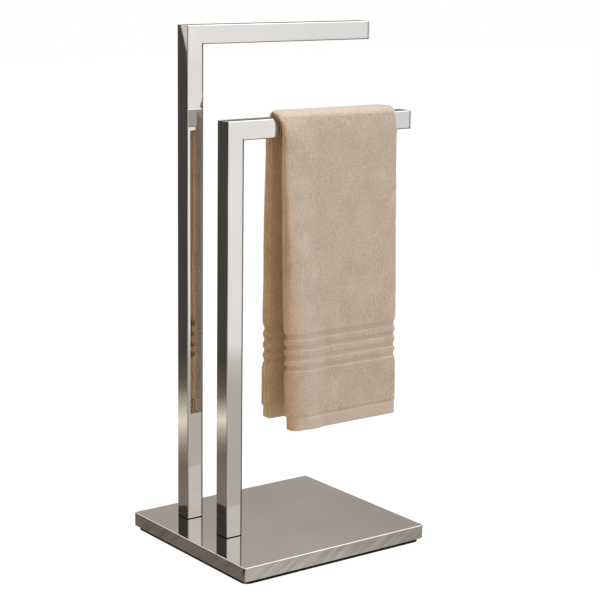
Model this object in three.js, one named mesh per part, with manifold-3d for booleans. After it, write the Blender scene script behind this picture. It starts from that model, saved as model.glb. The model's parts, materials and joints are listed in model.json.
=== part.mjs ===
// Free-standing towel stand: two open-ended square-tube frames on a weighted base, with a folded towel.
// Millimetres. X runs along the rails towards their open ends, Y towards the rear, Z up.
// The origin is the centre of the base's underside.

import * as THREE from "three";
import { mergeVertices } from "three/addons/utils/BufferGeometryUtils.js";
import Module from "manifold-3d";

// Base: a folded sheet cover over a core board and a steel ballast plate, on an anti-slip mat
const base_width = 356;
const base_depth = 322;
const base_corner_radius = 5;
const base_edge_radius = 1.6;
const cover_height = 22;
const cover_wall = 1.2;
const ballast_thickness = 6;
const mat_thickness = 6;
const mat_inset = 4;
const mat_corner_radius = 12;
const stack_side_clearance = 0.6;

// Frames: each is an upright and a rail of square tube, mitred at the corner
const tube_side = 30;
const tube_wall = 1.5;
const tube_corner_radius = 1.8;
const upright_from_left = 53;
const front_frame_from_front = 127;
const rear_frame_from_front = 240;
const front_rail_top = 691;
const rear_rail_top = 830;
const front_rail_reach = 361;
const rear_rail_reach = 361;
const mitre_gap = 0.3;

// Weld in the inner corner of each mitre: its legs along the two tubes, and its thickness at their ends
const weld_leg = 2.8;
const weld_toe = 0.3;

// End caps of the rails
const cap_thickness = 2;
const cap_edge_radius = 0.7;
const cap_spigot_length = 12;
const cap_spigot_wall = 1.6;

// Foot of each upright: a gasket under the tube, a threaded insert in it and two bolts from below
const gasket_thickness = 0.8;
const insert_height = 24;
const bolt_spacing = 15;
const bolt_radius = 3;
const bolt_head_radius = 5.2;
const bolt_head_height = 3.2;
const bolt_thread_in_insert = 17;
const socket_radius = 2.3;
const socket_depth = 2;
const washer_radius = 6;
const washer_thickness = 1;
const counterbore_radius = 7;
const counterbore_depth = 3;
const access_hole_radius = 16;

// Countersunk screws that hold the ballast plate to the core board
const screw_inset = 32;
const screw_radius = 2;
const screw_head_radius = 4;
const screw_head_height = 2.4;
const screw_length = 14;

// Clearances, and the least radius that an inner corner is left with
const seat_gap = 0.25;
const slip_clearance = 0.3;
const hole_clearance = 0.3;
const thread_clearance = 0.2;
const cut_overrun = 5;
const least_radius = 0.3;

// Towel: one cloth folded in three along its length and hung over the front rail
const cloth_thickness = 3.4;
const layer_gap = 0.4;
const towel_gap = 0.3;
const towel_left = -27;
const towel_width = 226;
const towel_front_bottom = 190;
const towel_back_bottom = 204;
const towel_front_lean = 11;
const towel_back_lean = -4;
const hem_height = 22;
const hem_step = 2;
const hem_thinning = 0.7;
const hem_left_inset = 4;
const hem_right_inset = 1;
const free_edge_inset = 6;

// Facets of round stretches
const corner_steps = 5;
const edge_steps = 5;
const bore_facets = 20;
const drape_steps = 6;
const wide_fold_steps = 6;
const tight_fold_steps = 4;

// Worked-out places shared by several pieces
const base_top = mat_thickness + cover_height;
const ballast_bottom = mat_thickness + seat_gap;
const ballast_top = ballast_bottom + ballast_thickness;
const core_bottom = ballast_top + seat_gap;
const core_top = base_top - cover_wall - seat_gap;
const gasket_bottom = base_top + seat_gap;
const tube_bottom = gasket_bottom + gasket_thickness + seat_gap;
const half_tube = tube_side / 2;
const bore_side = tube_side - 2 * tube_wall;
const frame_x = upright_from_left + half_tube - base_width / 2;
const front_frame_y = front_frame_from_front + half_tube - base_depth / 2;
const rear_frame_y = rear_frame_from_front + half_tube - base_depth / 2;
const feet = { front: front_frame_y, rear: rear_frame_y };

const materials = {
  steel: new THREE.MeshStandardMaterial({ color: 0xc9c8c6, roughness: 0.12, metalness: 1 }),
  cover: new THREE.MeshStandardMaterial({ color: 0xb9b3ac, roughness: 0.22, metalness: 1 }),
  zinc: new THREE.MeshStandardMaterial({ color: 0xa9adb0, roughness: 0.4, metalness: 1 }),
  ballast: new THREE.MeshStandardMaterial({ color: 0x3a3c3e, roughness: 0.7, metalness: 0.6 }),
  board: new THREE.MeshStandardMaterial({ color: 0xa98a62, roughness: 0.9, metalness: 0 }),
  rubber: new THREE.MeshStandardMaterial({ color: 0x141414, roughness: 0.85, metalness: 0 }),
  terry: new THREE.MeshStandardMaterial({ color: 0xc4ad94, roughness: 1, metalness: 0 }),
};

const wasm = await Module();
wasm.setup();

// The manifold solid of a closed geometry
function solid(geometry) {
  const bare = geometry.clone();
  bare.deleteAttribute("normal");
  bare.deleteAttribute("uv");
  const merged = mergeVertices(bare);
  return new wasm.Manifold(
    new wasm.Mesh({
      numProp: 3,
      vertProperties: new Float32Array(merged.attributes.position.array),
      triVerts: new Uint32Array(merged.index.array),
    }),
  );
}

// The geometry of a manifold solid
function geometry_of(manifold) {
  const mesh = manifold.getMesh();
  const geometry = new THREE.BufferGeometry();
  geometry.setAttribute("position", new THREE.BufferAttribute(mesh.vertProperties, mesh.numProp));
  geometry.setIndex(new THREE.BufferAttribute(mesh.triVerts, 1));
  geometry.computeVertexNormals();
  return geometry;
}

// One geometry with others cut out of it
function cut(geometry, cutters) {
  return geometry_of(cutters.reduce((left, cutter) => left.subtract(solid(cutter)), solid(geometry)));
}

// A rectangle with round corners, centred on the origin
function rounded_rectangle(width, depth, radius) {
  const x = width / 2 - radius;
  const y = depth / 2 - radius;
  const quarter = Math.PI / 2;
  const shape = new THREE.Shape();
  shape.absarc(x, y, radius, 0, quarter);
  shape.absarc(-x, y, radius, quarter, 2 * quarter);
  shape.absarc(-x, -y, radius, 2 * quarter, 3 * quarter);
  shape.absarc(x, -y, radius, 3 * quarter, 4 * quarter);
  shape.closePath();
  return shape;
}

// A shape raised along Z from zero
function raise(shape, height) {
  return new THREE.ExtrudeGeometry(shape, {
    depth: height,
    bevelEnabled: false,
    curveSegments: corner_steps,
  });
}

// A block with round corners and, on its top, a rounded edge: a stack of outlines drawn in along an arc
function soft_block(width, depth, radius, height, edge_radius) {
  const outline = (inset) => {
    const corner = Math.max(radius - inset, least_radius);
    return rounded_rectangle(width - 2 * inset, depth - 2 * inset, corner).getPoints(corner_steps);
  };
  const levels = [{ inset: 0, z: 0 }];
  for (let step = 0; step <= edge_steps; step += 1) {
    const angle = (Math.PI / 2) * (step / edge_steps);
    levels.push({
      inset: edge_radius * (1 - Math.cos(angle)),
      z: height - edge_radius * (1 - Math.sin(angle)),
    });
  }
  return loft(
    levels.map((level) => outline(level.inset)),
    (point, step) => new THREE.Vector3(point.x, point.y, levels[step].z),
  );
}

// A closed solid through flat outlines with equally many points, counter-clockwise seen from the last one
function loft(outlines, place) {
  const count = outlines[0].length;
  const last = outlines.length - 1;
  const positions = outlines.flatMap((outline, step) =>
    outline.flatMap((point) => place(point, step).toArray()),
  );
  const index = [];
  for (let step = 0; step < last; step += 1) {
    for (let i = 0; i < count; i += 1) {
      const next = (i + 1) % count;
      const [a, b] = [step * count + i, step * count + next];
      const [c, d] = [a + count, b + count];
      index.push(a, b, d, a, d, c);
    }
  }
  for (const [a, b, c] of THREE.ShapeUtils.triangulateShape(outlines[0], [])) {
    index.push(a, c, b);
  }
  for (const [a, b, c] of THREE.ShapeUtils.triangulateShape(outlines[last], [])) {
    index.push(last * count + a, last * count + b, last * count + c);
  }
  const geometry = new THREE.BufferGeometry();
  geometry.setAttribute("position", new THREE.Float32BufferAttribute(positions, 3));
  geometry.setIndex(index);
  geometry.computeVertexNormals();
  return geometry;
}

// A cylinder from one height to another, on an axis parallel to Z
function bore(radius, low, high, x = 0, y = 0) {
  const geometry = new THREE.CylinderGeometry(radius, radius, high - low, bore_facets);
  geometry.rotateX(Math.PI / 2);
  geometry.translate(x, y, (low + high) / 2);
  return geometry;
}

// A turned solid from a profile of radius and height
function turned(profile) {
  const points = profile.map(([radius, height]) => new THREE.Vector2(radius, height));
  const geometry = new THREE.LatheGeometry(points, bore_facets);
  geometry.rotateX(Math.PI / 2);
  return geometry;
}

function mesh(name, geometry, material, x = 0, y = 0, z = 0) {
  const made = new THREE.Mesh(geometry, material);
  made.name = name;
  made.position.set(x, y, z);
  return made;
}

// The two bolt axes of a foot, from the foot's own axis
const bolt_offsets = [-bolt_spacing / 2, bolt_spacing / 2];

// Every bolt axis in the base
function bolt_axes() {
  return Object.values(feet).flatMap((y) => bolt_offsets.map((x) => [frame_x + x, y]));
}

// The four screw axes in the base's corners
function screw_axes() {
  const x = base_width / 2 - screw_inset;
  const y = base_depth / 2 - screw_inset;
  return [
    [-x, -y],
    [x, -y],
    [x, y],
    [-x, y],
  ];
}

// Base cover: a tray turned upside down, with clearance holes for the bolts
function base_cover() {
  const shell = soft_block(base_width, base_depth, base_corner_radius, cover_height, base_edge_radius);
  const hollow = soft_block(
    base_width - 2 * cover_wall,
    base_depth - 2 * cover_wall,
    Math.max(base_corner_radius - cover_wall, least_radius),
    cover_height + cut_overrun - cover_wall,
    Math.max(base_edge_radius - cover_wall, least_radius),
  );
  hollow.translate(0, 0, -cut_overrun);
  const holes = bolt_axes().map(([x, y]) =>
    bore(bolt_radius + hole_clearance, 0, cover_height + cut_overrun, x, y),
  );
  return cut(shell, [hollow, ...holes]);
}

// A plate that fits inside the cover's walls
function inner_plate(height) {
  const inset = cover_wall + stack_side_clearance;
  return raise(
    rounded_rectangle(base_width - 2 * inset, base_depth - 2 * inset, base_corner_radius - cover_wall),
    height,
  );
}

// Core board: fills the cover above the ballast, with room for bolts and pilot holes for the screws
function core_board() {
  const height = core_top - core_bottom;
  const bolt_holes = bolt_axes().map(([x, y]) =>
    bore(bolt_radius + hole_clearance, -cut_overrun, height + cut_overrun, x, y),
  );
  const pilot_depth = ballast_bottom + screw_length + seat_gap - core_bottom;
  const pilots = screw_axes().map(([x, y]) =>
    bore(screw_radius + thread_clearance, -cut_overrun, pilot_depth, x, y),
  );
  return cut(inner_plate(height), [...bolt_holes, ...pilots]);
}

// Ballast plate: counterbored from below for the bolts and countersunk for the screws
function ballast_plate() {
  const high = ballast_thickness + cut_overrun;
  const bolt_holes = bolt_axes().flatMap(([x, y]) => [
    bore(bolt_radius + hole_clearance, -cut_overrun, high, x, y),
    bore(counterbore_radius, -cut_overrun, counterbore_depth, x, y),
  ]);
  const screw_holes = screw_axes().map(([x, y]) => {
    const sink = turned(screw_profile(hole_clearance, high, cut_overrun));
    sink.translate(x, y, 0);
    return sink;
  });
  return cut(inner_plate(ballast_thickness), [...bolt_holes, ...screw_holes]);
}

// Anti-slip mat: set in from the cover's edge, with an opening under each foot's bolts
function base_mat() {
  const sheet = raise(
    rounded_rectangle(base_width - 2 * mat_inset, base_depth - 2 * mat_inset, mat_corner_radius),
    mat_thickness,
  );
  const openings = Object.values(feet).map((y) =>
    bore(access_hole_radius, -cut_overrun, mat_thickness + cut_overrun, frame_x, y),
  );
  return cut(sheet, openings);
}

// The profile of a countersunk screw, or of its hole when it is grown by a clearance
function screw_profile(grow, top, below) {
  const head = screw_head_radius + grow;
  const shank = screw_radius + grow;
  return [
    [0, -below],
    [head, -below],
    [head, grow],
    [shank, screw_head_height + grow],
    [shank, top],
    [0, top],
  ];
}

// A socket-head bolt that points up, with its head's underside at zero height
function frame_bolt(length) {
  return turned([
    [0, socket_depth - bolt_head_height],
    [socket_radius, socket_depth - bolt_head_height],
    [socket_radius, -bolt_head_height],
    [bolt_head_radius, -bolt_head_height],
    [bolt_head_radius, 0],
    [bolt_radius, 0],
    [bolt_radius, length],
    [0, length],
  ]);
}

function washer() {
  const disc = bore(washer_radius, 0, washer_thickness);
  return cut(disc, [bore(bolt_radius + hole_clearance, -cut_overrun, washer_thickness + cut_overrun)]);
}

// The outline of the tube's bore, less a clearance all round
function bore_outline(clearance) {
  return rounded_rectangle(bore_side - 2 * clearance, bore_side - 2 * clearance, least_radius);
}

// A length of square tube along Z; a mitre slopes an end's points by their distance from the outer side
function tube(length, mitred_end) {
  const section = rounded_rectangle(tube_side, tube_side, tube_corner_radius);
  section.holes.push(bore_outline(0));
  const geometry = raise(section, length);
  const points = geometry.attributes.position;
  const setback = mitre_gap * Math.SQRT1_2;
  for (let i = 0; i < points.count; i += 1) {
    const at_top = points.getZ(i) > length / 2;
    const slope = points.getX(i) + half_tube + setback;
    if (mitred_end === "top" && at_top) {
      points.setZ(i, length - slope);
    }
    if (mitred_end === "bottom" && !at_top) {
      points.setZ(i, slope);
    }
  }
  geometry.computeVertexNormals();
  return geometry;
}

// A foot piece with the tube's outline or its bore's outline, and two bolt holes
function foot_piece(outline, height, radius) {
  const holes = bolt_offsets.map((x) => bore(radius, -cut_overrun, height + cut_overrun, x));
  return cut(raise(outline, height), holes);
}

// An end cap: a flange as wide as the tube, with its outer edges eased, and a hollow spigot in the bore
function end_cap() {
  const flange = soft_block(tube_side, tube_side, tube_corner_radius, cap_thickness, cap_edge_radius);
  const spigot_shape = bore_outline(slip_clearance);
  const hollow_side = bore_side - 2 * (slip_clearance + cap_spigot_wall);
  spigot_shape.holes.push(rounded_rectangle(hollow_side, hollow_side, least_radius));
  const spigot = raise(spigot_shape, cap_spigot_length + seat_gap + cap_thickness / 2);
  spigot.translate(0, 0, -cap_spigot_length - seat_gap);
  return geometry_of(solid(flange).add(solid(spigot)));
}

// The weld of a mitre: a concave fillet along Y, drawn from the inner corner that the two tubes make
function corner_weld() {
  const width = tube_side - 2 * tube_corner_radius;
  const quarter = Math.PI / 2;
  const profile = new THREE.Shape();
  profile.moveTo(0, 0);
  profile.lineTo(0, -weld_leg);
  profile.absarc(weld_leg, -weld_leg, weld_leg - weld_toe, 2 * quarter, quarter, true);
  profile.lineTo(weld_leg, 0);
  profile.closePath();
  const geometry = raise(profile, width);
  geometry.rotateX(quarter);
  geometry.translate(0, width / 2, 0);
  return geometry;
}

// One frame: its upright, its rail, their weld, the rail's cap and the foot's pieces, on the foot's own axis
function frame(side, y, rail_top, reach) {
  const group = new THREE.Group();
  group.position.set(frame_x, y, 0);
  const upright = tube(rail_top - tube_bottom, "top");
  const rail = tube(reach - cap_thickness - seat_gap, "bottom");
  rail.rotateY(Math.PI / 2);
  const cap = end_cap();
  cap.rotateY(Math.PI / 2);
  const rail_z = rail_top - half_tube;
  const tube_outline = rounded_rectangle(tube_side, tube_side, tube_corner_radius);
  const gasket = foot_piece(tube_outline, gasket_thickness, bolt_radius + hole_clearance);
  const insert = foot_piece(bore_outline(slip_clearance), insert_height, bolt_radius + thread_clearance);
  const [weld_x, weld_z] = [half_tube + seat_gap, rail_top - tube_side - seat_gap];
  group.add(
    mesh(`${side}_upright`, upright, materials.steel, 0, 0, tube_bottom),
    mesh(`${side}_rail`, rail, materials.steel, -half_tube, 0, rail_z),
    mesh(`${side}_corner_weld`, corner_weld(), materials.steel, weld_x, 0, weld_z),
    mesh(`${side}_rail_cap`, cap, materials.steel, reach - half_tube - cap_thickness, 0, rail_z),
    mesh(`${side}_foot_gasket`, gasket, materials.rubber, 0, 0, gasket_bottom),
    mesh(`${side}_foot_insert`, insert, materials.zinc, 0, 0, tube_bottom),
  );
  const washer_bottom = ballast_bottom + counterbore_depth - seat_gap - washer_thickness;
  const head_top = washer_bottom - seat_gap;
  bolt_offsets.forEach((x, i) => {
    const bolt = frame_bolt(tube_bottom + bolt_thread_in_insert - head_top);
    group.add(
      mesh(`${side}_foot_bolt_${i + 1}`, bolt, materials.zinc, x, 0, head_top),
      mesh(`${side}_foot_washer_${i + 1}`, washer(), materials.zinc, x, 0, washer_bottom),
    );
  });
  return group;
}

// The base and what is screwed into it
function base() {
  const group = new THREE.Group();
  group.add(
    mesh("base_cover", base_cover(), materials.cover, 0, 0, mat_thickness),
    mesh("core_board", core_board(), materials.board, 0, 0, core_bottom),
    mesh("ballast_plate", ballast_plate(), materials.ballast, 0, 0, ballast_bottom),
    mesh("base_mat", base_mat(), materials.rubber),
  );
  screw_axes().forEach(([x, y], i) => {
    const screw = turned(screw_profile(0, screw_length, 0));
    group.add(mesh(`ballast_screw_${i + 1}`, screw, materials.zinc, x, y, ballast_bottom));
  });
  return group;
}

// The towel's fold, across its width: x from its left side, n outwards from its innermost face.
// From the free edge in the middle, the cloth runs right, turns over into the outer layer,
// runs left, and turns under into the layer next to the rail.
function towel_outline(width, thickness) {
  const pitch = cloth_thickness + layer_gap;
  const inner_n = cloth_thickness / 2;
  const middle_n = inner_n + pitch;
  const outer_n = middle_n + pitch;
  const wide_radius = pitch;
  const tight_radius = pitch / 2;
  const left = cloth_thickness / 2 + wide_radius;
  const right = width - cloth_thickness / 2 - tight_radius;
  const up = Math.PI / 2;
  const line = [{ x: left + layer_gap, n: middle_n, angle: -up }];
  for (let step = 0; step <= tight_fold_steps; step += 1) {
    const angle = -up + Math.PI * (step / tight_fold_steps);
    line.push({
      x: right + tight_radius * Math.cos(angle),
      n: (middle_n + outer_n) / 2 + tight_radius * Math.sin(angle),
      angle,
    });
  }
  for (let step = 0; step <= wide_fold_steps; step += 1) {
    const angle = up + Math.PI * (step / wide_fold_steps);
    line.push({
      x: left + wide_radius * Math.cos(angle),
      n: middle_n + wide_radius * Math.sin(angle),
      angle,
    });
  }
  line.push({ x: width - free_edge_inset, n: inner_n, angle: 3 * up });
  const side = (sign) =>
    line.map(
      ({ x, n, angle }) =>
        new THREE.Vector2(
          x + ((sign * thickness) / 2) * Math.cos(angle),
          n + ((sign * thickness) / 2) * Math.sin(angle),
        ),
    );
  return [...side(1), ...side(-1).reverse()];
}

// The towel's stations from its back hem over the rail to its front hem.
// Each has a point on the line of its innermost face, that face's outward direction and its side inset.
function towel_stations() {
  const reach_y = half_tube + towel_gap;
  const top_z = front_rail_top + towel_gap;
  const bend = tube_corner_radius + towel_gap;
  const hang = (outward, bottom, lean) => {
    const heights = [0, hem_height, hem_height + hem_step].map((height) => bottom + height);
    const share = (z) => (top_z - bend - z) / (top_z - bend - bottom);
    return heights.map((z, i) => ({
      y: outward * reach_y,
      z,
      normal: [outward, 0],
      shift: lean * share(z),
      hem: i < 2,
    }));
  };
  const corner = (outward) => {
    const turns = [];
    for (let step = 0; step <= drape_steps; step += 1) {
      const angle = (Math.PI / 2) * (step / drape_steps);
      const [across, up] = [outward * Math.cos(angle), Math.sin(angle)];
      turns.push({
        y: outward * (reach_y - bend) + bend * across,
        z: top_z - bend + bend * up,
        normal: [across, up],
        shift: 0,
        hem: false,
      });
    }
    return turns;
  };
  return [
    ...hang(1, towel_back_bottom, towel_back_lean),
    ...corner(1),
    ...corner(-1).reverse(),
    ...hang(-1, towel_front_bottom, towel_front_lean).reverse(),
  ];
}

function towel() {
  const stations = towel_stations();
  const outlines = stations.map(({ hem }) =>
    hem
      ? towel_outline(towel_width - hem_left_inset - hem_right_inset, cloth_thickness - hem_thinning)
      : towel_outline(towel_width, cloth_thickness),
  );
  return loft(outlines, (point, step) => {
    const { y, z, normal, shift, hem } = stations[step];
    const left = towel_left + shift + (hem ? hem_left_inset : 0);
    return new THREE.Vector3(left + point.x, y + point.y * normal[0], z + point.y * normal[1]);
  });
}

const stand = new THREE.Group();
stand.add(
  base(),
  frame("front", front_frame_y, front_rail_top, front_rail_reach),
  frame("rear", rear_frame_y, rear_rail_top, rear_rail_reach),
  mesh("towel", towel(), materials.terry, 0, front_frame_y, 0),
);

export default stand;
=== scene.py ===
import json
import math

import bpy
import numpy as np
from mathutils import Matrix, Vector


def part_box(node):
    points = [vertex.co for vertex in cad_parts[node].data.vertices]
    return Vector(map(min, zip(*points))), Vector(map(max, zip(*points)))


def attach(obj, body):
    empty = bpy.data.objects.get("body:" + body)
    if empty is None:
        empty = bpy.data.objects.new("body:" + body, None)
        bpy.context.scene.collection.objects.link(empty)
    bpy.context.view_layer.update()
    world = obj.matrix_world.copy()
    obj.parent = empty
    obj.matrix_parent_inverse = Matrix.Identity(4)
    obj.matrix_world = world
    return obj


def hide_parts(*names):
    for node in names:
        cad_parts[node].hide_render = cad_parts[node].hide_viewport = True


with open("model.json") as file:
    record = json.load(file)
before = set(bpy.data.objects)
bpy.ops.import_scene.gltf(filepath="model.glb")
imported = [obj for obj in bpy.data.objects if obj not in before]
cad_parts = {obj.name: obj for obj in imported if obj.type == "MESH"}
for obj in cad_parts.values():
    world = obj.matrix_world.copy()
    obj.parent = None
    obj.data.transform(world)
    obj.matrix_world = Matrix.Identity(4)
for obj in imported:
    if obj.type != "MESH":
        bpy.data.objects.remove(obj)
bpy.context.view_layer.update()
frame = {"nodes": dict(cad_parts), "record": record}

# All lengths are in metres, in the frame of the CAD model: X along the rails, Y to the rear, Z up

# Camera
camera_position = Vector((-1.60034, -2.20001, 0.96828))
camera_yaw = math.radians(36.706)
camera_pitch = math.radians(-11.880)
camera_roll = math.radians(0.763)
focal_pixels = 1733.55
image_side_pixels = 600
sensor_width_mm = 36.0
clip_start = 0.05
clip_end = 200.0

# The front rail that carries the towel
front_rail_low, front_rail_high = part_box("front_rail")
rail_side = front_rail_high[1] - front_rail_low[1]
rail_y = (front_rail_low[1] + front_rail_high[1]) / 2
rail_top = front_rail_high[2]

# Polished welds that fill the mitres flush
mitre_gap = 0.0003
weld_recess = 0.00003
tube_corner_radius = 0.0018
bore_side = 0.027
bore_corner_radius = 0.0003
weld_corner_steps = 6

# Towel, folded in three along its length: the layer next to the rail with a free edge on its left, a fold
# on its right to the outer layer, and a wide roll on its left to the layer between the two
cloth_thickness = 0.0034
layer_gap = 0.0005
towel_gap = 0.0004
bend_radius = 0.0025
front_bottom = 0.1868
back_bottom = 0.2005
free_edge_inset = 0.006
free_edge_shift = 0.003
pressed_share = 0.84
press_reach = 0.030
swell_reach = 0.055
swell_wave = 0.23
swell_wave_share = 0.08
roll_power = 0.8
roll_back = 0.004

# The cloth is drawn up where it rolls out
roll_lift_share = 0.32
roll_lift_reach = 0.058
roll_lift_fade = 0.034

# Heights on the front panel, and there the roll's swell, its slant to the right and its front's width
roll_heights = (0.300, 0.380, 0.440, 0.500, 0.600, 0.660, 0.684, 0.691)
roll_swells = (0.0098, 0.0098, 0.0095, 0.0085, 0.0062, 0.0052, 0.0035, 0.0)
roll_slants = (0.0100, 0.0085, 0.0040, 0.0015, 0.0, 0.0, 0.0, 0.0)
roll_fronts = (0.0120, 0.0100, 0.0060, 0.0045, 0.0045, 0.0060, 0.0100, 0.0120)
back_swell = 0.0050
back_front = 0.0050
top_front = 0.0140

# The towel's left and right edges at heights of its two hanging panels
back_heights = (0.201, 0.233, 0.266, 0.453, 0.658, 0.687)
back_left = (-0.0287, -0.0288, -0.0287, -0.0275, -0.0247, -0.0215)
back_right = (0.2030, 0.2035, 0.2030, 0.2010, 0.1965, 0.1945)
front_heights = (0.187, 0.243, 0.404, 0.563, 0.663, 0.678, 0.687)
front_left = (-0.0168, -0.0184, -0.0240, -0.0272, -0.0287, -0.0292, -0.0330)
front_right = (0.2087, 0.2085, 0.2055, 0.2012, 0.1997, 0.1990, 0.1972)
rear_edge_left = -0.0185
front_edge_left = -0.0385
top_right = 0.1952
edge_smoothing = 0.008
smoothing_step = 0.001

# The towel's woven border: where its flat grooves start and end, from the cloth's end
groove_starts = (0.0987, 0.1154, 0.1328, 0.1500)
groove_ends = (0.1066, 0.1231, 0.1404, 0.1592)
back_border_drop = 0.0065
groove_softness = 0.0030
groove_thickness = 0.0014
groove_side_inset = 0.0011
border_side_inset = 0.0014
rib_margin = 0.006
rib_softness = 0.006
hem_height = 0.0217
hem_softness = 0.0011
hem_thickness = 0.0025
hem_left_inset = 0.0030
hem_round = 0.0014
end_shares = (0.0, 0.25, 0.6, 1.0)
thin_share = 0.3
seam_width = 0.0022
seam_shares = (-1.0, -0.5, 0.0, 0.5, 1.0)
seam_thickness = 0.0012
corner_lift = 0.0050
corner_reach = 0.0060
# Tone factors on the cloth's colour: a painted shade darkens the border's grooves, the ribs between them
# are a little lighter and the hem a little darker
groove_painted_shade_share = -0.16
rib_tone_share = 0.02
hem_tone_share = -0.02

# Spacing of the towel's mesh
field_step = 0.0040
border_step = 0.0010
border_margin = 0.006
bend_steps = 10
outer_columns = 76
inner_columns = 30
hidden_columns = 20
roll_columns = 24
turn_columns = 10
cap_columns = 3

# Unevenness of the towel
pile_roughness = 0.00020
grain_seed = 7
wave_depth = 0.0007
wave_length = 0.110
wave_directions = (
    (1.00, 0.31, 0.72),
    (-0.62, 1.07, 0.35),
    (0.43, -0.78, 1.13),
    (-1.21, -0.44, 0.66),
)
wave_phases = (0.4, 1.9, 3.1, 5.2)

# The studio's floor
floor_side = 19.7
floor_drop = 0.0003


def add_object(name, data):
    """A new object in the scene"""
    made = bpy.data.objects.new(name, data)
    bpy.context.scene.collection.objects.link(made)
    return made


def add_mesh(name, points, faces, material):
    """A new object of one mesh and one material"""
    mesh = bpy.data.meshes.new(name)
    mesh.from_pydata(points, [], faces)
    mesh.materials.append(material)
    mesh.update()
    return add_object(name, mesh)


def add_camera():
    """The photograph's camera, turned by its yaw to the right, its pitch and its roll"""
    data = bpy.data.cameras.new("camera")
    data.sensor_fit = "HORIZONTAL"
    data.sensor_width = sensor_width_mm
    data.lens = focal_pixels / image_side_pixels * sensor_width_mm
    data.clip_start = clip_start
    data.clip_end = clip_end
    camera = add_object("camera", data)
    level = math.cos(camera_pitch)
    forward = Vector((math.sin(camera_yaw) * level, math.cos(camera_yaw) * level, math.sin(camera_pitch)))
    level_right = Vector((math.cos(camera_yaw), -math.sin(camera_yaw), 0))
    level_up = level_right.cross(forward)
    right = level_right * math.cos(camera_roll) + level_up * math.sin(camera_roll)
    up = level_up * math.cos(camera_roll) - level_right * math.sin(camera_roll)
    turn = Matrix((right, up, -forward)).transposed().to_4x4()
    camera.matrix_world = Matrix.Translation(camera_position) @ turn
    bpy.context.scene.camera = camera


# Shader nodes

x_axis = (1, 0, 0)
y_axis = (0, 1, 0)
z_axis = (0, 0, 1)
white = (1.0, 1.0, 1.0)

# The Mix node's sockets by number: its share, its two inputs and its result
mix_sockets = {"RGBA": (0, 6, 7, 2), "VECTOR": (0, 4, 5, 1)}


def grey(share):
    """A colour with the same share of red, green and blue"""
    return (share, share, share)


def new_material(name):
    """An empty material and its tree of nodes"""
    material = bpy.data.materials.new(name)
    material.use_nodes = True
    material.node_tree.nodes.clear()
    return material, material.node_tree


def finish_material(tree, shader):
    node(tree, "ShaderNodeOutputMaterial", {"Surface": shader})


def node(tree, kind, inputs=None, **settings):
    """A new node, with each input linked to a socket or set to a value"""
    made = tree.nodes.new(kind)
    for key, value in settings.items():
        setattr(made, key, value)
    for key, value in (inputs or {}).items():
        if isinstance(value, bpy.types.NodeSocket):
            tree.links.new(value, made.inputs[key])
        else:
            made.inputs[key].default_value = value
    return made


def math_node(tree, operation, *values):
    return node(tree, "ShaderNodeMath", dict(enumerate(values)), operation=operation).outputs[0]


def minus(tree, first, second):
    return math_node(tree, "SUBTRACT", first, second)


def multiplied(tree, first, *factors):
    for factor in factors:
        first = math_node(tree, "MULTIPLY", first, factor)
    return first


def vector_node(tree, operation, first, second):
    return node(tree, "ShaderNodeVectorMath", {0: first, 1: second}, operation=operation).outputs


def dot(tree, vector, direction):
    return vector_node(tree, "DOT_PRODUCT", vector, direction)["Value"]


def product(tree, first, second):
    return vector_node(tree, "MULTIPLY", first, second)[0]


def vector_sum(tree, first, second):
    return vector_node(tree, "ADD", first, second)[0]


def times(tree, vector, factor):
    return node(tree, "ShaderNodeVectorMath", {0: vector, "Scale": factor}, operation="SCALE").outputs[0]


def unit(tree, vector):
    return node(tree, "ShaderNodeVectorMath", {0: vector}, operation="NORMALIZE").outputs[0]


def object_place(tree):
    return node(tree, "ShaderNodeTexCoord").outputs["Object"]


def noise_value(tree, place, scale, grain):
    """Noise at a scale, with a grain of detail and roughness"""
    detail, roughness = grain
    made = node(
        tree,
        "ShaderNodeTexNoise",
        {"Vector": place, "Scale": scale, "Detail": detail, "Roughness": roughness},
    )
    return made.outputs["Fac"]


def spread(tree, value, low, high, start, end):
    """Goes from low to high as a value goes from start to end"""
    made = node(
        tree,
        "ShaderNodeMapRange",
        {"Value": value, "From Min": start, "From Max": end, "To Min": low, "To Max": high},
    )
    return made.outputs["Result"]


def share_between(tree, value, start, end):
    return spread(tree, value, 0.0, 1.0, start, end)


def ramp(tree, value, stops):
    """A colour ramp over a value, from (value, colour) stops"""
    low, high = stops[0][0], stops[-1][0]
    made = node(tree, "ShaderNodeValToRGB", {"Fac": share_between(tree, value, low, high)})
    elements = made.color_ramp.elements
    while len(elements) < len(stops):
        elements.new(1.0)
    for element, (place, colour) in zip(elements, stops):
        element.position = (place - low) / (high - low)
        element.color = (*colour, 1.0)
    return made.outputs["Color"]


def mixed(tree, kind, share, first, second):
    """A mix of two colours or of two vectors"""
    share_key, first_key, second_key, result_key = mix_sockets[kind]
    values = {share_key: share, first_key: first, second_key: second}
    return node(tree, "ShaderNodeMix", values, data_type=kind).outputs[result_key]


def mixed_colour(tree, share, first, second):
    ends = [end if isinstance(end, bpy.types.NodeSocket) else (*end, 1.0) for end in (first, second)]
    return mixed(tree, "RGBA", share, *ends)


def bump(tree, height, distance, normal=None):
    inputs = {"Height": height, "Distance": distance}
    if normal is not None:
        inputs["Normal"] = normal
    return node(tree, "ShaderNodeBump", inputs).outputs["Normal"]


# Materials of the stand: colours, and roughness from the smoothest to the roughest spot

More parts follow.
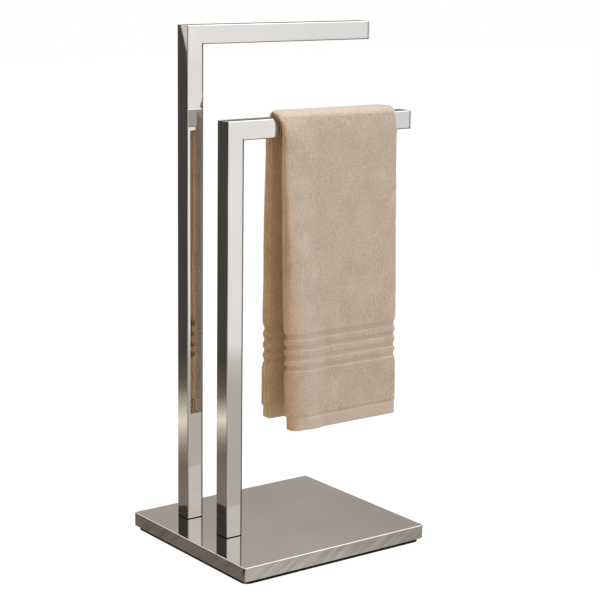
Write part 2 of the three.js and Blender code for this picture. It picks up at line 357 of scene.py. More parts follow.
chrome_light = (0.80, 0.785, 0.765)
chrome_shade = (0.765, 0.75, 0.73)
chrome_rough = (0.015, 0.05)
cover_light = (0.63, 0.60, 0.575)
cover_shade = (0.585, 0.555, 0.525)
cover_rough = (0.03, 0.09)
zinc_light = (0.62, 0.64, 0.66)
zinc_shade = (0.50, 0.52, 0.53)
zinc_rough = (0.3, 0.45)
primer_light = (0.062, 0.062, 0.066)
primer_shade = (0.042, 0.042, 0.046)
primer_rough = (0.55, 0.67)
primer_metallic = 0.3
board_light = (0.46, 0.32, 0.19)
board_shade = (0.34, 0.23, 0.13)
board_rough = (0.8, 0.92)
rubber_light = (0.010, 0.010, 0.010)
rubber_shade = (0.005, 0.005, 0.005)
rubber_rough = (0.7, 0.82)
matt_gloss = 0.15

# Their noises: scale, grain and depth. A range holds the values of a noise that count as 0 and 1
noise_range = (0.3, 0.7)
cloud_scale = 9.0
cloud_grain = (3.0, 0.6)
cloud_range = (0.35, 0.65)
streak_scales = (6.0, 6.0, 150.0)
streak_grain = (4.0, 0.6)
ripple_scale = 14.0
ripple_grain = (1.0, 0.4)
ripple_depth = 0.000012
smear_along = (9.0, -9.0, 6.0)
smear_across = (-60.0, 60.0, 95.0)
smear_grain = (3.0, 0.6)
smear_dark_share = -0.24
smear_light_share = 0.22
speckle_grain = (4.0, 0.65)
primer_scale = 300.0
primer_depth = 0.00005
board_scale = 420.0
board_depth = 0.0001
rubber_scale = 800.0
rubber_depth = 0.00006

# The rear upright's front face is slightly twisted beside the towel, apart from a strip at its left,
# which is wider beside the front rail, and turns the other way above
flat_face_share = 0.995
lean_right = 0.150
lean_up = 0.045
lean_away = -0.04
lean_curve = 0.197
lean_low = 0.206
lean_rail = 0.667
lean_high = 0.696
lean_edge = 0.0012
straight_strip = 0.0046
straight_rail_strip = 0.0165

# Its left face is tilted above that, more so towards the rear, and hollow below
side_tilt = -1.0
side_hollow = -0.50
hollow_height = 0.1996
hollow_most = -0.0168

# The mirror image on a tube turns away towards its outer edges
edge_reach = 0.0050
edge_power = 2.0
edge_turn = 1.6
tip_turn = 0.22
low_edge_turn = 0.5


def polished_metal(name, light, shade, rough, normal=None, smeared=False):
    """Mirror-like metal with faint clouds in its colour, polishing streaks in its gloss and slow ripples"""
    material, tree = new_material(name)
    place = object_place(tree)
    clouds = noise_value(tree, place, cloud_scale, cloud_grain)
    lines = noise_value(tree, product(tree, place, streak_scales), 1.0, streak_grain)
    ripples = noise_value(tree, place, ripple_scale, ripple_grain)
    colour = mixed_colour(tree, share_between(tree, clouds, *cloud_range), light, shade)
    if smeared:
        colour = times(tree, colour, smears(tree))
    shader = node(
        tree,
        "ShaderNodeBsdfPrincipled",
        {
            "Base Color": colour,
            "Metallic": 1.0,
            "Roughness": spread(tree, lines, *rough, *noise_range),
            "Normal": bump(tree, ripples, ripple_depth, normal(tree) if normal else None),
        },
    )
    finish_material(tree, shader.outputs[0])
    return material


def smears(tree):
    """A factor around 1 that draws slanting polishing marks on upright faces"""
    geometry = node(tree, "ShaderNodeNewGeometry").outputs
    along = dot(tree, geometry["Position"], smear_along)
    across = dot(tree, geometry["Position"], smear_across)
    slanting = node(tree, "ShaderNodeCombineXYZ", {"X": along, "Y": across}).outputs[0]
    marks = noise_value(tree, slanting, 1.0, smear_grain)
    upright = minus(tree, 1.0, math_node(tree, "ABSOLUTE", dot(tree, geometry["Normal"], z_axis)))
    strength = spread(tree, marks, smear_dark_share, smear_light_share, *noise_range)
    return math_node(tree, "MULTIPLY_ADD", strength, upright, 1.0)


def tube_normal(edges, twisted=False):
    """The normal of a tube, turned outwards near edges that each have a direction, a place and a turn"""
    def build(tree):
        geometry = node(tree, "ShaderNodeNewGeometry").outputs
        place, moved = geometry["Position"], geometry["Normal"]
        if twisted:
            moved = vector_sum(tree, moved, twist(tree, geometry))
        for direction, edge, turn in edges:
            share = share_between(tree, dot(tree, place, direction), edge - edge_reach, edge)
            reach = multiplied(tree, math_node(tree, "POWER", share, edge_power), turn)
            moved = vector_sum(tree, moved, times(tree, direction, reach))
        return unit(tree, moved)

    return build


def twist(tree, geometry):
    """What the rear upright's twist adds to the normals of its front and left faces"""
    place, normal = geometry["Position"], geometry["Normal"]
    corner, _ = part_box("rear_upright")
    height = dot(tree, place, z_axis)

    def above(level):
        return share_between(tree, height, level - lean_edge / 2, level + lean_edge / 2)

    high = above(lean_high)
    low = minus(tree, 1.0, high)

    # The front face: a lean beside the towel, to the right of the strip, and a turn above it
    to_front = math_node(tree, "LESS_THAN", dot(tree, normal, y_axis), -flat_face_share)
    narrow, wide = corner[0] + straight_strip, corner[0] + straight_rail_strip
    strip = spread(tree, above(lean_rail), narrow, wide, 0.0, 1.0)
    past_strip = share_between(tree, minus(tree, dot(tree, place, x_axis), strip), 0.0, lean_edge)
    lean_share = multiplied(tree, to_front, above(lean_low), low, past_strip)
    lean_z = math_node(tree, "MULTIPLY_ADD", minus(tree, lean_high, height), lean_curve, lean_up)
    lean = node(tree, "ShaderNodeCombineXYZ", {"X": lean_right, "Z": lean_z}).outputs[0]
    leftwards = times(tree, x_axis, multiplied(tree, to_front, high, lean_away))
    on_front = vector_sum(tree, times(tree, lean, lean_share), leftwards)

    # The left face: a tilt above the towel that grows to the rear, and a hollow beside the towel
    to_left = math_node(tree, "LESS_THAN", dot(tree, normal, x_axis), -flat_face_share)
    tilt = multiplied(tree, minus(tree, dot(tree, place, y_axis), corner[1]), side_tilt, high)
    hollow = multiplied(tree, minus(tree, height, hollow_height), side_hollow)
    hollow = multiplied(tree, math_node(tree, "MAXIMUM", hollow, hollow_most), low)
    upwards = multiplied(tree, math_node(tree, "ADD", tilt, hollow), to_left)
    return vector_sum(tree, on_front, times(tree, z_axis, upwards))


def matt_material(name, light, shade, rough, scale, depth, metallic=0.0):
    """A matt solid with speckled colour and a fine grain"""
    material, tree = new_material(name)
    speckle = noise_value(tree, object_place(tree), scale, speckle_grain)
    shader = node(
        tree,
        "ShaderNodeBsdfPrincipled",
        {
            "Base Color": mixed_colour(tree, share_between(tree, speckle, *noise_range), light, shade),
            "Metallic": metallic,
            "Roughness": spread(tree, speckle, *rough, *noise_range),
            "Specular IOR Level": matt_gloss,
            "Normal": bump(tree, speckle, depth),
        },
    )
    finish_material(tree, shader.outputs[0])
    return material


# Terry of the towel

terry_light = (0.661, 0.547, 0.389)
terry_shade = (0.351, 0.266, 0.167)
terry_rough = 0.95
terry_gloss = 0.15
woven_colour = (0.537, 0.440, 0.308)
woven_light = (0.623, 0.519, 0.374)
sheen_weight = 0.7
sheen_rough = 0.5
loop_scale = 620.0
loop_share = 0.6
loop_depth = 0.0009
pile_scale = 420.0
pile_grain = (3.0, 0.7)
pile_tone_share = 0.7
mottle_scale = 26.0
mottle_grain = (3.0, 0.6)
mottle_tone_share = 0.3
woven_mottle_share = 0.6
thread_scale = 5200.0
thread_depth = 0.00008
warp_share = 0.5


def terry_material():
    """Loops in the piled fields, fine flat threads in the grooves and hems"""
    material, tree = new_material("terry_cotton")
    place = object_place(tree)
    pile = node(tree, "ShaderNodeAttribute", attribute_name="pile").outputs["Fac"]
    # The tone attribute scales the colour: it holds a painted shade in the border's grooves
    groove_shade_and_tone = node(tree, "ShaderNodeAttribute", attribute_name="tone").outputs["Vector"]

    fibres = noise_value(tree, place, pile_scale, pile_grain)
    loops = node(tree, "ShaderNodeTexVoronoi", {"Vector": place, "Scale": loop_scale}).outputs["Distance"]
    loop_height = minus(tree, fibres, multiplied(tree, loops, loop_share))
    axes = node(tree, "ShaderNodeSeparateXYZ", {"Vector": place}).outputs
    weft = math_node(tree, "SINE", multiplied(tree, axes["Z"], thread_scale))
    warp = math_node(tree, "SINE", multiplied(tree, axes["X"], thread_scale))
    thread_height = math_node(tree, "MULTIPLY_ADD", warp, warp_share, weft)
    woven_normal = bump(tree, thread_height, thread_depth)
    terry_normal = bump(tree, loop_height, loop_depth)

    mottled = share_between(tree, noise_value(tree, place, mottle_scale, mottle_grain), *noise_range)
    fibre_tone = multiplied(tree, share_between(tree, fibres, *noise_range), pile_tone_share)
    tone = math_node(tree, "MULTIPLY_ADD", mottled, mottle_tone_share, fibre_tone)
    terry = mixed_colour(tree, tone, terry_shade, terry_light)
    woven = mixed_colour(tree, multiplied(tree, mottled, woven_mottle_share), woven_colour, woven_light)
    shader = node(
        tree,
        "ShaderNodeBsdfPrincipled",
        {
            "Base Color": product(tree, mixed_colour(tree, pile, woven, terry), groove_shade_and_tone),
            "Roughness": terry_rough,
            "Sheen Weight": sheen_weight,
            "Sheen Roughness": sheen_rough,
            "Sheen Tint": (*white, 1.0),
            "Specular IOR Level": terry_gloss,
            "Normal": mixed(tree, "VECTOR", pile, woven_normal, terry_normal),
        },
    )
    finish_material(tree, shader.outputs[0])
    return material


# Towel

def ease(share):
    """A share from 0 to 1 with a soft start and end"""
    share = np.clip(share, 0.0, 1.0)
    return share * share * (3.0 - 2.0 * share)


def soft_step(value, edge, softness):
    """0 below an edge and 1 above it, with a soft change between"""
    return ease((value - edge) / softness + 0.5)


def groove_share(end_distance, drop):
    """1 on the floor of the border's grooves, 0 elsewhere, for a border that lies lower by a drop"""
    share = np.zeros_like(end_distance)
    for start, end in zip(groove_starts, groove_ends):
        share += soft_step(end_distance, start - drop, groove_softness)
        share -= soft_step(end_distance, end - drop, groove_softness)
    return np.clip(share, 0.0, 1.0)


def border_share(end_distance, drop):
    """1 in the border with all its grooves and ribs, 0 elsewhere"""
    share = soft_step(end_distance, groove_starts[0] - drop - rib_margin, rib_softness)
    return share - soft_step(end_distance, groove_ends[-1] - drop + rib_margin, rib_softness)


def thickness_along(end_distance, groove, hem):
    """The cloth's thickness: thin in the grooves, the hem and its seam, and round at the very end"""
    seam = ease(1.0 - np.abs(end_distance - hem_height) / seam_width)
    rounding = np.clip(end_distance / hem_round, 0.0, 1.0)
    thickness = cloth_thickness + (groove_thickness - cloth_thickness) * groove
    thickness += (hem_thickness - cloth_thickness) * hem
    thickness += (seam_thickness - thickness) * seam
    return thickness * np.maximum(np.sqrt(1.0 - (1.0 - rounding) ** 2), thin_share)


def end_distances(length):
    """Distances from a cloth end up to a length, close together at the end's edge and in the border"""
    edge = hem_round * np.array(end_shares)
    hem = np.arange(hem_round + field_step, hem_height - seam_width, field_step)
    seam = hem_height + seam_width * np.array(seam_shares)
    border_start = groove_starts[0] - back_border_drop - border_margin
    below = np.arange(seam[-1] + field_step, border_start, field_step)
    border = np.arange(below[-1] + border_step, groove_ends[-1] + border_margin, border_step)
    above = np.arange(border[-1] + field_step, length - field_step / 2, field_step)
    return np.concatenate([edge, hem, seam, below, border, above, [length]])


def towel_stations():
    """The towel's innermost face line from its back end over the rail to its front end.

    Each row holds y, z, the outward direction's y and z, and the distance from the cloth's end.
    """
    half = rail_side / 2 + towel_gap
    bend_z = rail_top + towel_gap - bend_radius
    far = bend_z - front_bottom
    turn = np.linspace(0.0, math.pi / 2, bend_steps + 1)[1:]

    def bend(sense):
        """The bend over the rail's rear edge (sense 1) or front edge (sense -1), upwards"""
        return [
            (
                rail_y + sense * (half - bend_radius * (1 - math.cos(angle))),
                bend_z + bend_radius * math.sin(angle),
                sense * math.cos(angle),
                math.sin(angle),
                far,
            )
            for angle in turn
        ]

    flat = half - bend_radius
    across = np.linspace(flat, -flat, bend_steps)[1:-1]
    back_z = back_bottom + end_distances(bend_z - back_bottom)
    front_z = front_bottom + end_distances(far)
    back = [(rail_y + half, z, 1.0, 0.0, z - back_bottom) for z in back_z]
    top = [(rail_y + y, rail_top + towel_gap, 0.0, 1.0, far) for y in across]
    front = [(rail_y - half, z, -1.0, 0.0, z - front_bottom) for z in front_z]
    return np.array(back + bend(1) + top + bend(-1)[::-1] + front[::-1])


def towel_edges(stations):
    """Each station's left and right edge, and the roll's swell, slant and front width"""
    y, z = stations[:, 0], stations[:, 1]
    rear_y = rail_y + rail_side / 2
    front_y = rail_y - rail_side / 2
    on_top = z > rail_top + towel_gap - bend_radius
    behind = y > rail_y

    def along(top, back, front):
        return smoothed(stations, np.where(on_top, top, np.where(behind, back, front)))

    def at_front(values, heights=roll_heights):
        return np.interp(z, heights, values)

    left = along(
        np.interp(y, (front_y, rear_y), (front_edge_left, rear_edge_left)),
        np.interp(z, back_heights, back_left),
        at_front(front_left, front_heights),
    )
    right = along(top_right, np.interp(z, back_heights, back_right), at_front(front_right, front_heights))
    swell = along(roll_swells[-1], back_swell, at_front(roll_swells))
    swell *= 1.0 + swell_wave_share * np.sin(2 * math.pi * z / swell_wave)
    slant = along(0.0, 0.0, at_front(roll_slants))
    front = along(top_front, back_front, at_front(roll_fronts))
    return np.stack([left, right, swell, slant, front], axis=1)


def smoothed(stations, values):
    """Values of the stations, smoothed along the towel"""
    steps = np.hypot(np.diff(stations[:, 0]), np.diff(stations[:, 1]))
    path = np.concatenate([[0.0], np.cumsum(steps)])
    even = np.arange(0.0, path[-1], smoothing_step)
    reach = int(edge_smoothing / smoothing_step)
    kernel = np.hanning(2 * reach + 1)
    kernel /= kernel.sum()
    padded = np.pad(np.interp(even, path, values), reach, mode="edge")
    return np.interp(path, even, np.convolve(padded, kernel, mode="valid"))


def fold_line(edges, thickness, gap):
    """The middle line of the folded cloth across its width, as places x and distances n from the rail.

    It starts at the free edge, runs right next to the rail, turns back into the outer layer, runs left
    and rolls into the layer between the two.
    """
    left, right, swell, slant, front = edges
    half = thickness / 2
    pitch = thickness + gap
    turn_x = right - half - pitch
    free_x = left + free_edge_shift + half
    under = np.linspace(free_x, turn_x, inner_columns, endpoint=False)
    turn = math.pi * (np.arange(turn_columns) / turn_columns - 0.5)
    roll_x = left + half
    reach = (pitch + swell) / 2
    outer = np.linspace(turn_x, roll_x + front + slant, outer_columns, endpoint=False)
    raised = swell * ease(1.0 - (outer - outer[-1]) / swell_reach)
    angle = math.pi * (0.5 - np.arange(roll_columns) / roll_columns)
    across = np.abs(np.cos(angle)) ** roll_power
    away = np.sign(np.sin(angle)) * np.abs(np.sin(angle)) ** roll_power
    rolled = roll_x + np.where(angle > 0, front, roll_back) * (1.0 - across) + slant * (1.0 + away) / 2
    middle = np.linspace(roll_x + roll_back, right - pitch - free_edge_inset, hidden_columns)
    x = np.concatenate([under, turn_x + pitch * np.cos(turn), outer, rolled, middle])
    n = np.concatenate([
        np.full(inner_columns, half),
        half + pitch + pitch * np.sin(turn),
        half + 2 * pitch + raised,
        half + pitch + reach + reach * away,
        np.full(hidden_columns, half + pitch),
    ])
    return np.stack([x, n], axis=1)


def strip_outline(line, thickness):
    """The closed outline of a line of cloth of some thickness, with round edges"""
    ahead = np.gradient(line, axis=0)
    ahead /= np.linalg.norm(ahead, axis=1, keepdims=True)
    out = np.stack([ahead[:, 1], -ahead[:, 0]], axis=1)
    half = thickness / 2

    def edge(index, sense):
        turns = np.pi * np.arange(1, cap_columns + 1) / (cap_columns + 1)
        return [
            line[index] + half * sense * (out[index] * math.cos(turn) + ahead[index] * math.sin(turn))
            for turn in turns
        ]

    return np.concatenate([line + half * out, edge(-1, 1.0), (line - half * out)[::-1], edge(0, -1.0)])


def slow_waves(points):
    """Waves from -1 to 1 as a mean of sines in oblique directions"""
    scale = 2 * math.pi / wave_length
    total = 0.0
    for (a, b, c), phase in zip(wave_directions, wave_phases):
        total = total + np.sin(scale * (points[:, 0] * a + points[:, 1] * b + points[:, 2] * c) + phase)
    return total / len(wave_directions)


def towel_sections(stations):
    """The towel's closed outlines at its stations, and each one's share on the rail, pile and tone, with a
    painted shade in the grooves
    """
    edges = towel_edges(stations)
    station_y, station_z, _, _, end_distance = stations.T
    drop = np.where(station_y > rail_y, back_border_drop, 0.0)
    groove = groove_share(end_distance, drop)
    border = border_share(end_distance, drop)
    hem = 1.0 - soft_step(end_distance, hem_height, hem_softness)
    thickness = thickness_along(end_distance, groove, hem)
    on_rail = soft_step(station_z, rail_top - press_reach / 2, press_reach)
    press = 1.0 - (1.0 - pressed_share) * on_rail
    narrowing = groove_side_inset * groove + border_side_inset * border
    edges[:, 0] += hem_left_inset * hem + narrowing
    edges[:, 1] -= narrowing
    lift = corner_lift * ease(1.0 - end_distance / hem_height)
    outlines = []
    for i, (y, z, out_y, out_z, _) in enumerate(stations):
        left, _, swell, _, _ = edges[i]
        full = cloth_thickness * press[i]
        outline = strip_outline(fold_line(edges[i], full, layer_gap * press[i]), min(thickness[i], full))
        x, n = outline[:, 0], outline[:, 1]
        from_left = x - left
        raised = lift[i] * np.clip(1.0 - from_left / corner_reach, 0.0, 1.0) ** 2
        rolled_out = ease((roll_lift_reach - from_left) / roll_lift_fade)
        raised += roll_lift_share * swell * rolled_out * out_y ** 2
        outlines.append(np.stack([x, y + n * out_y, z + n * out_z + raised], axis=1))
    # Painted shade in the grooves, with slightly lighter ribs and a slightly darker hem
    tone = 1.0 + groove_painted_shade_share * groove + hem_tone_share * hem
    tone += rib_tone_share * border * (1.0 - groove)
    return outlines, on_rail, (1.0 - groove) * (1.0 - hem), tone


def uneven_points(stations, outlines, on_rail, pile):
    """The outlines' points, moved by slow waves away from the rail and by the roughness of the pile"""
    count = len(outlines[0])
    points = np.concatenate(outlines)
    _, _, out_y, out_z, _ = stations.T
    facing = np.repeat(np.stack([out_y, out_z], axis=1), count, axis=0)
    waves = slow_waves(points) * wave_depth * np.repeat(1.0 - on_rail, count)
    points[:, 1] += facing[:, 0] * waves
    rough = np.random.default_rng(grain_seed).normal(0.0, pile_roughness, len(points))
    rough *= np.repeat(pile, count)
    points[:, 1:] += facing * rough[:, None]
    return points


def towel_faces(rows, count):
    """Quads between neighbouring outlines of a number of points, and the cloth's two closed ends"""
    first = np.arange(count)
    ring = np.stack([first, np.roll(first, -1), np.roll(first, -1) + count, first + count], axis=1)
    starts = np.arange(rows - 1) * count
    faces = (ring[None] + starts[:, None, None]).reshape(-1, ring.shape[1]).tolist()
    # Each end of the cloth is closed by quads across its thickness and by its two round edges
    along = (count - 2 * cap_columns) // 2
    back = along + cap_columns
    closing = [(i, i + 1, back + along - 2 - i, back + along - 1 - i) for i in range(along - 1)]
    closing.append(tuple(range(along - 1, back + 1)))
    closing.append((*range(back + along - 1, count), 0))
    for corners in closing:
        faces.append(corners[::-1])
    last = (rows - 1) * count
    for corners in closing:
        faces.append([last + i for i in corners])
    return faces


def add_towel():
    """The cloth, as one closed mesh, takes the place of the CAD model's folded body"""
    stations = towel_stations()
    outlines, on_rail, pile, tone = towel_sections(stations)
    count = len(outlines[0])
    points = uneven_points(stations, outlines, on_rail, pile)
    faces = towel_faces(len(outlines), count)
    cloth = add_mesh("towel_cloth", points.tolist(), faces, terry_material())
    cloth.data.polygons.foreach_set("use_smooth", [True] * len(faces))
    for name, values in (("pile", pile), ("tone", tone)):
        layer = cloth.data.attributes.new(name, "FLOAT", "POINT")
        layer.data.foreach_set("value", np.repeat(values, count).astype(np.float32))
    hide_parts("towel")
    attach(cloth, "towel")


# Studio: what the metal mirrors is a floor and room, in tones by place and by direction, with painted
# shadow on the floor by the base

view_side = (0.6, -0.8, 0.0)
view_ahead = (0.6, 0.8, 0.0)
floor_bounce = (0.62, 0.58, 0.53)
floor_own_light = 0.975
floor_shadow_share = 0.10
dark_surround = (0.068, 0.061, 0.055)
dusk = (0.125, 0.108, 0.092)
dim_shoulder = (0.21, 0.18, 0.15)
warm_shoulder = (0.52, 0.46, 0.37)
bright_band = (0.93, 0.85, 0.71)
brown_shoulder = (0.28, 0.23, 0.175)
brown_floor = (0.19, 0.16, 0.13)
# Warm floor darkened by a painted shadow next to the base
warm_floor_and_shadow = (0.235, 0.190, 0.160)
pale_floor = (0.70, 0.68, 0.65)
mid_floor = (0.56, 0.52, 0.475)
pale_wall = (0.72, 0.69, 0.65)
white_paper = (0.97, 0.96, 0.95)
lamp_glow = (2.4, 2.4, 2.4)
# The floor's tones from the left to the front, by the place along view_side; next to the base a painted
# shadow darkens the warm floor
floor_stops = (
    (-1.32, dark_surround),
    (-1.10, dusk),
    (-1.01, dim_shoulder),
    (-0.925, warm_shoulder),
    (-0.835, bright_band),
    (-0.75, warm_shoulder),
    (-0.667, brown_shoulder),
    (-0.585, brown_floor),
    # Next to the base and behind it at the left: warm floor in painted shadow
    (-0.42, warm_floor_and_shadow),
    (0.01, warm_floor_and_shadow),
    (0.04, pale_floor),
    (0.11, pale_floor),
    (0.22, mid_floor),
    (1.00, mid_floor),
    (1.25, pale_wall),
    (1.42, white_paper),
)
# To the right the floor behind the stand is as pale as the floor in front of it
right_slope = 4.0
right_start = 1.0
right_most = 0.6

# The tones of the room behind and in front, by the upward part of a direction
wall_low = (0.24, 0.23, 0.215)
wall_middle = (0.55, 0.50, 0.46)
wall_upper = (0.60, 0.555, 0.52)
wall_high = (0.92, 0.90, 0.88)
wall_glow = (2.0, 2.0, 2.0)
wall_stops = (
    (-0.03, pale_wall),
    (0.01, wall_low),
    (0.10, wall_low),
    (0.33, wall_middle),
    (0.36, wall_upper),
    (0.45, wall_high),
    (0.60, wall_glow),
    (1.00, lamp_glow),
)
front_stops = (
    (0.00, white_paper),
    (0.40, white_paper),
    (1.00, lamp_glow),
)
# Shares of light by the rightward part of a direction: in front, where the left is dark, and behind
right_end_shares = (
    (0.76, (0.82, 0.84, 0.86)),
    (0.86, (0.22, 0.23, 0.24)),
    (1.00, (0.18, 0.19, 0.20)),
)
front_side_shares = (
    (-1.00, grey(0.50)),
    (-0.92, grey(0.15)),
    (-0.25, grey(0.15)),
    (-0.02, white),
    (0.15, grey(1.12)),
    (0.50, grey(1.01)),
    (0.57, grey(0.97)),
    (0.65, (0.92, 0.93, 0.945)),
    *right_end_shares,
)
side_shares = (
    (0.50, grey(0.97)),
    (0.58, white),
    (0.65, (0.84, 0.85, 0.865)),
    *right_end_shares,
)
# Where the room in front goes over into the room behind, and that into the dark at the left
behind_edge = 0.25
left_start = -0.25
left_full = -0.40
# A painted shadow: a dark strip on the floor to the left of the base, only in mirror images, as the front
# upright shows it
painted_shadow_colour = (0.042, 0.037, 0.030)
strip_far = -0.262
strip_near = -0.219
strip_back = 0.20
strip_edge = 0.006
# A pale gap in the dark at the left, from the horizon down
gap_pale = (0.73, 0.665, 0.61)
gap_top = 0.010
gap_foot = -0.020

# Soft light for all but mirror images: warm from the left, cooler from the right, bluish from behind
warm_ambient = (0.72, 0.454, 0.24)
cool_ambient = (0.97, 0.81, 0.65)
back_ambient = (1.05, 1.25, 1.75)
back_ambient_way = (0.0, 1.0, -0.6)
back_ambient_start = 0.20
back_ambient_full = 0.50
ambient_strength = 0.448

# Lamps, with the colours of their light
lamp_target = (0.05, 0.0, 0.45)
key_place = (1.3, -2.4, 1.7)
key_side = 1.4
key_watts = 47.0
key_light = (0.410, 0.650, 1.0)
top_place = (0.2, -0.3, 2.6)
top_side = 1.2
top_watts = 55.5
top_light = (0.79, 0.84, 1.0)
left_place = (-1.75, -1.6, 0.9)
left_side = 1.2
left_watts = 19.0
left_light = (0.96, 0.576, 0.262)


def by_ray(tree, seen, mirrored, other):
    """One shader for what the camera sees, one for mirror images and one for all other light"""
    rays = node(tree, "ShaderNodeLightPath").outputs
    unseen = node(tree, "ShaderNodeMixShader", {0: rays["Is Glossy Ray"], 1: other, 2: mirrored}).outputs[0]
    return node(tree, "ShaderNodeMixShader", {0: rays["Is Camera Ray"], 1: unseen, 2: seen}).outputs[0]


def floor_in_mirrors(tree, place):
    """The floor as the metal shows it: a bright band on dark to the left, pale paper to the front, painted
    shadow by the base
    """
    rightwards = math_node(tree, "MULTIPLY_ADD", dot(tree, place, x_axis), right_slope, -right_start)
    at_right = math_node(tree, "MINIMUM", rightwards, right_most)
    across = math_node(tree, "MAXIMUM", dot(tree, place, view_side), at_right)
    heading = dot(tree, unit(tree, place), x_axis)
    paper = product(tree, ramp(tree, across, floor_stops), ramp(tree, heading, side_shares))
    axes = node(tree, "ShaderNodeSeparateXYZ", {"Vector": place}).outputs
    # Painted shadow on the floor in mirror images, in a strip left of the base
    painted_shadow_share = multiplied(
        tree,
        share_between(tree, axes["X"], strip_far, strip_far + strip_edge),
        share_between(tree, axes["X"], strip_near, strip_near - strip_edge),
        share_between(tree, axes["Y"], strip_back, strip_back - strip_edge),
    )
    return mixed_colour(tree, painted_shadow_share, paper, painted_shadow_colour)


def floor_material():
    """White paper to the camera, with the object's shadow; in the metal's reflections a table with painted
    shadow by the base
    """
    material, tree = new_material("studio_floor")
    place = node(tree, "ShaderNodeNewGeometry").outputs["Position"]
    paper = node(tree, "ShaderNodeEmission", {"Color": (*white, 1.0), "Strength": floor_own_light})
    shadow = node(tree, "ShaderNodeBsdfDiffuse", {"Color": (*grey(floor_shadow_share), 1.0)})
    seen = node(tree, "ShaderNodeAddShader", {0: paper.outputs[0], 1: shadow.outputs[0]}).outputs[0]
    mirrored = node(tree, "ShaderNodeEmission", {"Color": floor_in_mirrors(tree, place)}).outputs[0]
    bounce = node(tree, "ShaderNodeBsdfDiffuse", {"Color": (*floor_bounce, 1.0)}).outputs[0]
    finish_material(tree, by_ray(tree, seen, mirrored, bounce))
    return material


def add_floor():
    half = floor_side / 2
    corners = [(-half, -half), (half, -half), (half, half), (-half, half)]
    points = [(x, y, -floor_drop) for x, y in corners]
    floor = add_mesh("studio_floor", points, [range(len(corners))], floor_material())


def room_in_mirrors(tree, direction):
    """The room as the metal shows it: white in front, a shaded wall behind, dark at the left and right"""
    axes = node(tree, "ShaderNodeSeparateXYZ", {"Vector": direction}).outputs
    behind = share_between(tree, dot(tree, direction, view_ahead), -behind_edge, behind_edge)
    leftwards = share_between(tree, axes["X"], left_start, left_full)
    gap = share_between(tree, axes["Z"], gap_top, gap_foot)
    left = mixed_colour(tree, gap, dark_surround, gap_pale)
    wall = product(tree, ramp(tree, axes["Z"], wall_stops), ramp(tree, axes["X"], side_shares))
    front = product(tree, ramp(tree, axes["Z"], front_stops), ramp(tree, axes["X"], front_side_shares))
    return mixed_colour(tree, behind, front, mixed_colour(tree, leftwards, wall, left))


def set_world():
    """White to the camera, the room in mirror images, and a soft light for the rest"""
    world = bpy.data.worlds.new("studio")
    bpy.context.scene.world = world
    world.use_nodes = True
    tree = world.node_tree
    tree.nodes.clear()
    direction = node(tree, "ShaderNodeTexCoord").outputs["Generated"]
    rightwards = share_between(tree, dot(tree, direction, x_axis), -1.0, 1.0)
    backwards = dot(tree, direction, back_ambient_way)
    from_back = share_between(tree, backwards, back_ambient_start, back_ambient_full)
    around = mixed_colour(tree, rightwards, warm_ambient, cool_ambient)
    ambient = mixed_colour(tree, from_back, around, back_ambient)
    seen = node(tree, "ShaderNodeBackground", {"Color": (*white, 1.0)}).outputs[0]
    mirrored = node(tree, "ShaderNodeBackground", {"Color": room_in_mirrors(tree, direction)}).outputs[0]
    soft = node(tree, "ShaderNodeBackground", {"Color": ambient, "Strength": ambient_strength}).outputs[0]
    node(tree, "ShaderNodeOutputWorld", {"Surface": by_ray(tree, seen, mirrored, soft)})


def add_lamp(name, place, side, watts, colour):
    """A square lamp that points at the stand and shows in no mirror image"""
    data = bpy.data.lights.new(name, "AREA")
    data.shape = "SQUARE"
    data.size = side
    data.energy = watts
    data.color = colour
    lamp = add_object(name, data)
    lamp.location = place
    lamp.rotation_mode = "QUATERNION"
    lamp.rotation_quaternion = (Vector(lamp_target) - Vector(place)).to_track_quat("-Z", "Y")
    lamp.visible_glossy = False
    lamp.visible_camera = False


def add_lights():
    add_lamp("key_light", key_place, key_side, key_watts, key_light)
    add_lamp("top_light", top_place, top_side, top_watts, top_light)
    add_lamp("left_light", left_place, left_side, left_watts, left_light)


# Welds and materials of the CAD model's pieces

sides = ("front", "rear")


def square_points(side, radius):
    """The corner points of a square with round corners, centred on the origin"""
    reach = side / 2 - radius
    corners = ((reach, reach), (-reach, reach), (-reach, -reach), (reach, -reach))
    points = []
    for turn, (x, y) in enumerate(corners):
        for step in range(weld_corner_steps + 1):
            angle = math.pi / 2 * (turn + step / weld_corner_steps)
            points.append((x + radius * math.cos(angle), y + radius * math.sin(angle)))
    return points


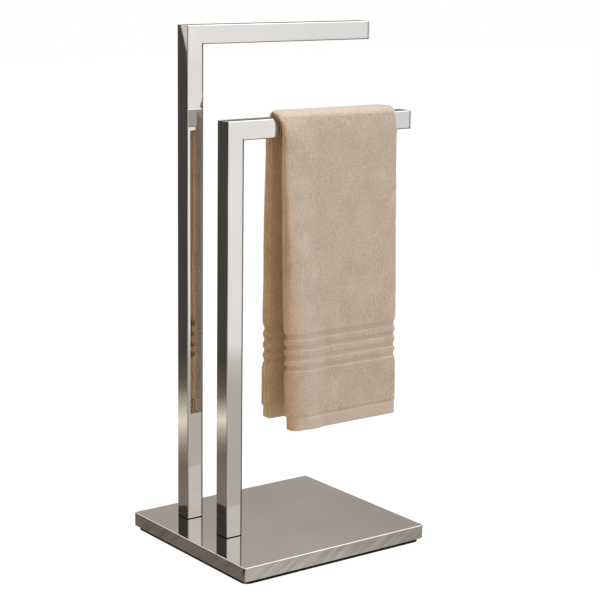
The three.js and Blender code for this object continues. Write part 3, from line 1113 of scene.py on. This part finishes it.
def add_mitre_weld(side, steel):
    """A ring of the tube's section that lies in the mitre between an upright and its rail"""
    low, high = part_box(f"{side}_upright")
    rail_low, rail_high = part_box(f"{side}_rail")
    centre_x, centre_y = (low[0] + high[0]) / 2, (low[1] + high[1]) / 2
    centre_z = (rail_low[2] + rail_high[2]) / 2
    offset = mitre_gap / 2 / math.sqrt(2)
    outer = square_points(rail_side - 2 * weld_recess, tube_corner_radius)
    inner = square_points(bore_side, bore_corner_radius)
    rings = ((outer, -offset), (outer, offset), (inner, offset), (inner, -offset))
    points = []
    for ring, shift in rings:
        points.extend((centre_x + x + shift, centre_y + y, centre_z - x + shift) for x, y in ring)
    count = len(outer)
    faces = []
    for loop in range(len(rings)):
        first, second = loop * count, (loop + 1) % len(rings) * count
        for i in range(count):
            j = (i + 1) % count
            faces.append((first + i, first + j, second + j, second + i))
    weld = add_mesh(f"{side}_mitre_weld", points, faces, steel)
    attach(weld, "stand")


def chrome(name, edges=(), twisted=False):
    """Chrome whose mirror image turns away at the given edges of a tube"""
    return polished_metal(name, chrome_light, chrome_shade, chrome_rough, tube_normal(edges, twisted))


def slot_materials():
    """The materials by the slots in the record, apart from the towel's, whose solid is replaced"""
    return {
        "chrome_tube": chrome("chrome_plate"),
        "polished_cover": polished_metal(
            "cover_steel", cover_light, cover_shade, cover_rough, smeared=True
        ),
        "zinc_fastener": polished_metal("zinc_plate", zinc_light, zinc_shade, zinc_rough),
        "ballast_steel": matt_material(
            "black_primer", primer_light, primer_shade, primer_rough, primer_scale, primer_depth,
            metallic=primer_metallic,
        ),
        "fibre_board": matt_material(
            "fibre_board", board_light, board_shade, board_rough, board_scale, board_depth
        ),
        "black_rubber": matt_material(
            "black_rubber", rubber_light, rubber_shade, rubber_rough, rubber_scale, rubber_depth
        ),
    }


def tube_materials():
    """Chrome for each upright and rail, as each has its own mirror image"""
    tubes = {}
    for side in sides:
        upright, rail = f"{side}_upright", f"{side}_rail"
        right = (x_axis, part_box(upright)[1][0], edge_turn)
        tubes[upright] = chrome(f"{upright}_chrome", [right], twisted=(side == "rear"))
        low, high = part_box(rail)
        tip = (x_axis, high[0], tip_turn)
        underside = ((0, 0, -1), -low[2], low_edge_turn)
        tubes[rail] = chrome(f"{rail}_chrome", [tip, underside])
    return tubes


def dress_nodes():
    """Gives every CAD node its material, and adds the welds"""
    slots = slot_materials()
    tubes = tube_materials()
    for part in frame["record"]["subparts"]:
        material = tubes.get(part["node"], slots.get(part["material_slot"]))
        if material is None:
            continue
        for slot in frame["nodes"][part["node"]].material_slots:
            slot.material = material
    for side in sides:
        add_mitre_weld(side, slots["chrome_tube"])


bpy.context.scene.view_settings.view_transform = "Standard"
add_camera()
dress_nodes()
add_towel()
add_floor()
set_world()
add_lights()
